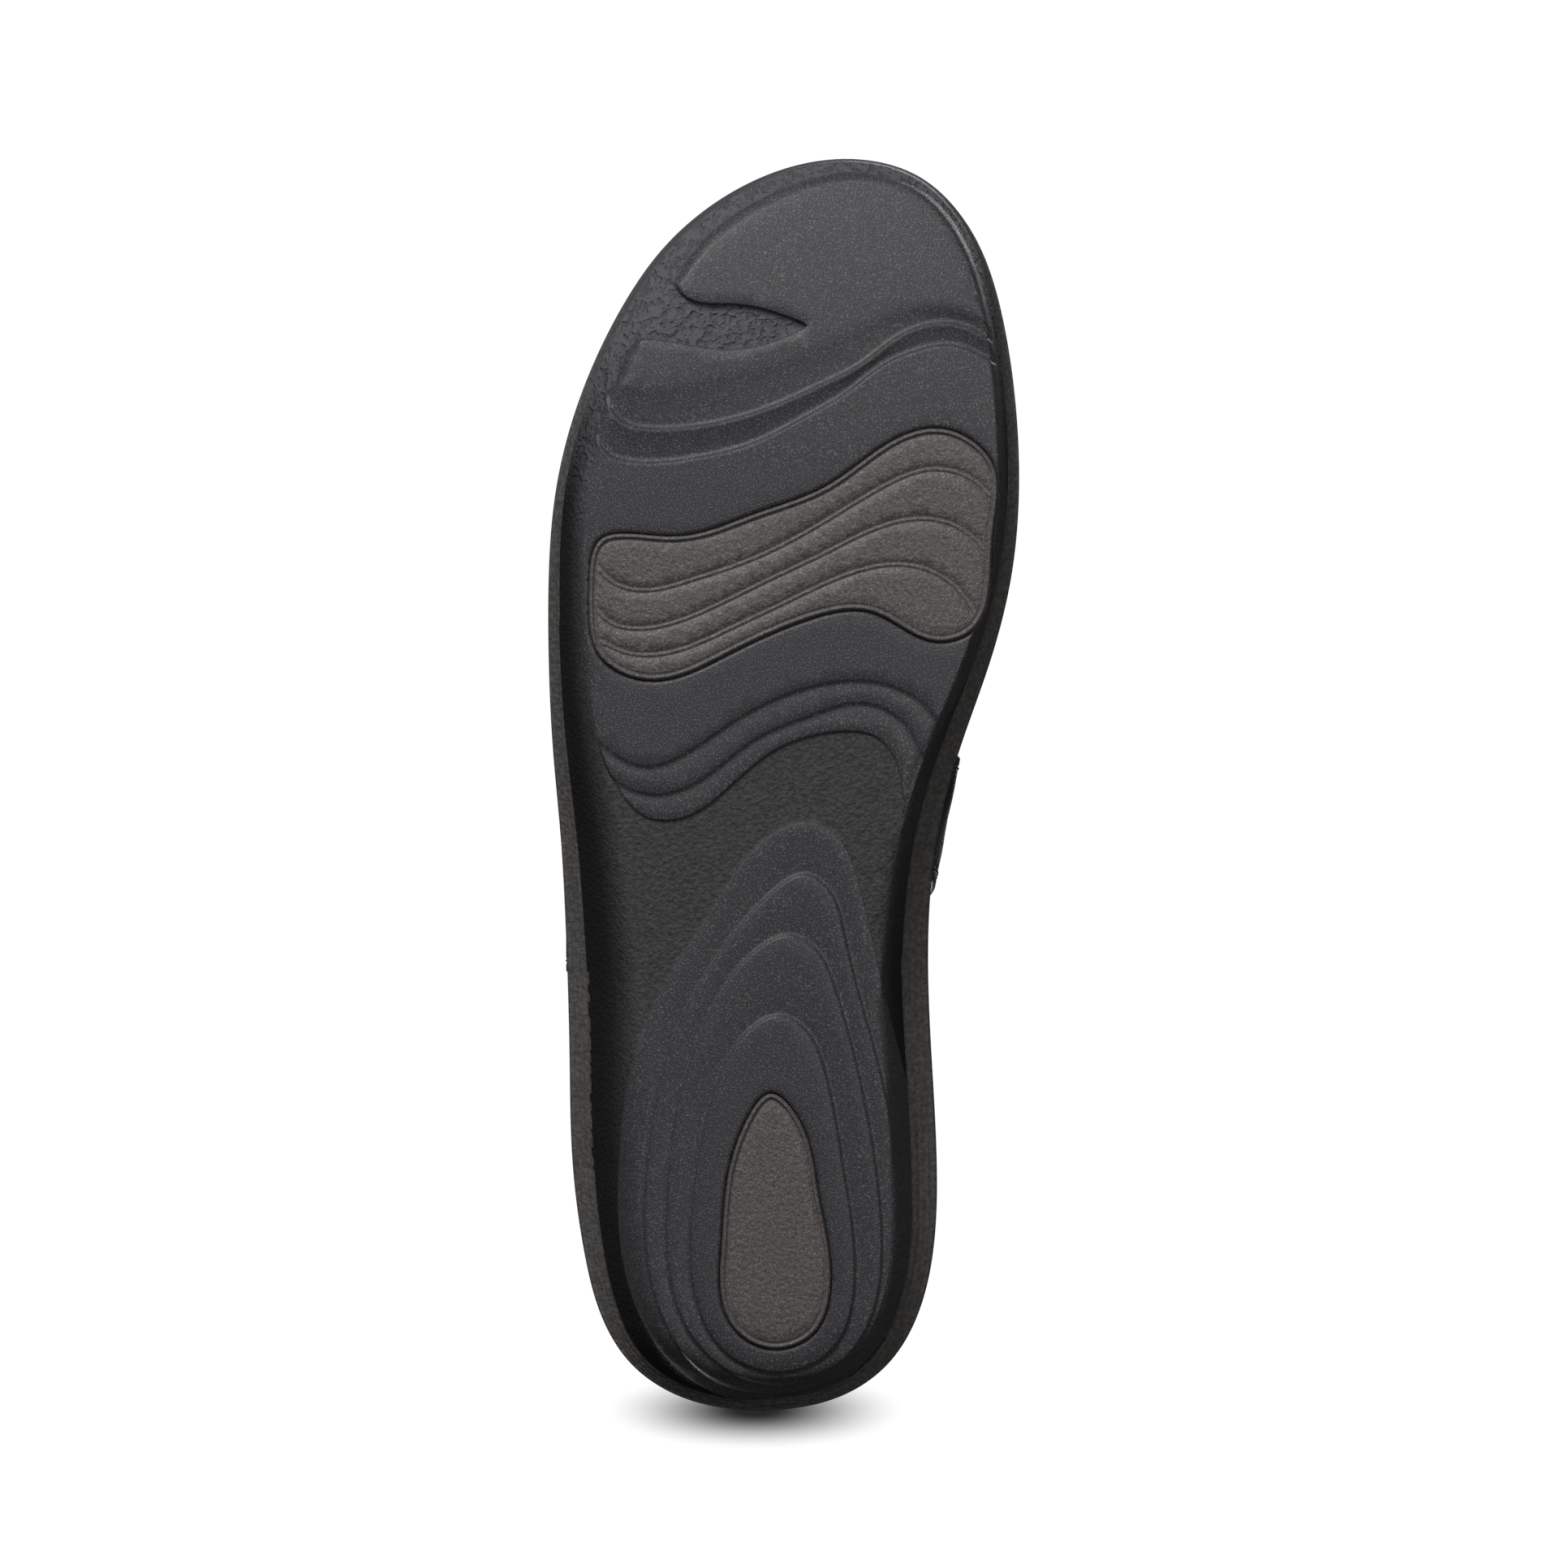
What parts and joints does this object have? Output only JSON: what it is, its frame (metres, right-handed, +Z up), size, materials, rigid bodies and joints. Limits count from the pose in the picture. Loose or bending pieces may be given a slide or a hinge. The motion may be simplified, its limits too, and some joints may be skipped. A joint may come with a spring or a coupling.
{
  "type": "comfort sandal",
  "caption": "Right-foot open comfort sandal on a moulded sole with curved treads, grip inserts, cushioned footbed, hook-and-loop instep strap and buckled heel sling.",
  "frame": {"origin": "ground plane under the middle of the sandal's bounding box", "axes": "+Z up, -Y to the toe, +Y to the heel, +X to the medial (big toe) side"},
  "size_m": [0.098, 0.2618, 0.0927],
  "materials": {
    "sole_foam": "matte black moulded EVA, smooth speckled tread and leather-grained margin",
    "grip_rubber": "matte warm grey rubber with a leather grain",
    "shank_steel": "plain strip steel",
    "fibre_board": "pressed fibre board",
    "footbed_foam": "soft open foam",
    "cushion_gel": "soft cushioning foam",
    "footbed_leather": "brushed charcoal leather",
    "strap_leather": "dark navy to black full-grain leather",
    "strap_padding": "foam padding",
    "strap_lining": "brushed microfibre",
    "hook_and_loop": "hook and loop tape",
    "hardware_metal": "dark brushed nickel"
  },
  "bodies": {
    "sandal": {"sole_unit": "sole_foam", "forefoot_grip_insert": "grip_rubber", "heel_grip_insert": "grip_rubber", "shank": "shank_steel", "insole_board": "fibre_board", "footbed_foam": "footbed_foam", "heel_cushion": "cushion_gel", "ball_cushion": "cushion_gel", "arch_wedge": "cushion_gel", "footbed_cover": "footbed_leather", "vamp_strap": "strap_leather", "vamp_padding": "strap_padding", "vamp_lining": "strap_lining", "instep_strap": "strap_leather", "instep_lining": "strap_lining", "loop_patch": "hook_and_loop", "strap_ring": "hardware_metal", "ring_loop": "strap_leather", "lateral_panel": "strap_leather", "lateral_lining": "strap_lining", "medial_panel": "strap_leather", "medial_lining": "strap_lining", "sling_studs": "hardware_metal"},
    "instep_flap": {"instep_tab": "strap_leather", "hook_patch": "hook_and_loop"},
    "heel_sling": {"sling_strap": "strap_leather", "sling_padding": "strap_padding", "sling_lining": "strap_lining", "sling_anchor": "strap_leather", "anchor_lining": "strap_lining", "keeper_loop": "strap_leather"},
    "buckle": {"buckle_frame": "hardware_metal"},
    "prong": {"buckle_prong": "hardware_metal"}
  },
  "joints": [
    {"name": "instep_tab_peel", "type": "hinge", "parent": "sandal", "child": "instep_flap", "pos_m": [-0.03, 0.029, 0.0745], "axis": [0, -1, 0], "range_deg": [0, 100]},
    {"name": "sling_swing", "type": "hinge", "parent": "sandal", "child": "heel_sling", "pos_m": [0, 0.057, 0.062], "axis": [1, 0, 0], "range_deg": [-10, 75]},
    {"name": "buckle_frame_lift", "type": "hinge", "parent": "heel_sling", "child": "buckle", "pos_m": [-0.0391, 0.084, 0.062], "axis": [0, 0, 1], "range_deg": [0, 30]},
    {"name": "buckle_prong_lift", "type": "hinge", "parent": "buckle", "child": "prong", "pos_m": [-0.0391, 0.084, 0.062], "axis": [0, 0, 1], "range_deg": [0, 60]}
  ]
}
